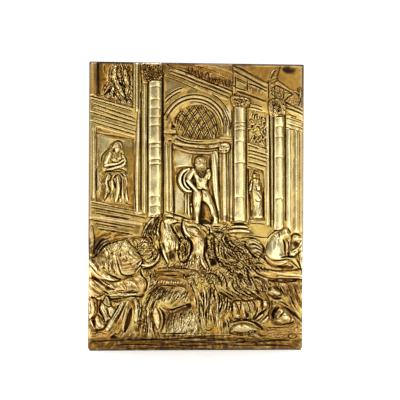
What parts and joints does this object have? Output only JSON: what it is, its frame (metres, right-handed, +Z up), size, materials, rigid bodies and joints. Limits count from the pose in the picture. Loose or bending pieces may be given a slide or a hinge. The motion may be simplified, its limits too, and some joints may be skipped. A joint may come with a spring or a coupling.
{
  "type": "relief plaque",
  "caption": "Upright rectangular gilt metal wall plaque, cast in relief with a palace front, columns, an arched niche and a fountain of rocks, figures and horses.",
  "frame": {"origin": "centre of the flat back face, which lies on the wall", "axes": "+Z up the plaque, +X to the right as seen from the front, +Y into the wall, so the relief faces -Y"},
  "size_m": [0.15, 0.0093, 0.2],
  "materials": {
    "gilt_metal": "polished gilding on the high relief, dark brown patina in the hollows, orange tarnish in places"
  },
  "bodies": {
    "root": {"relief_plaque": "gilt_metal"}
  },
  "joints": []
}
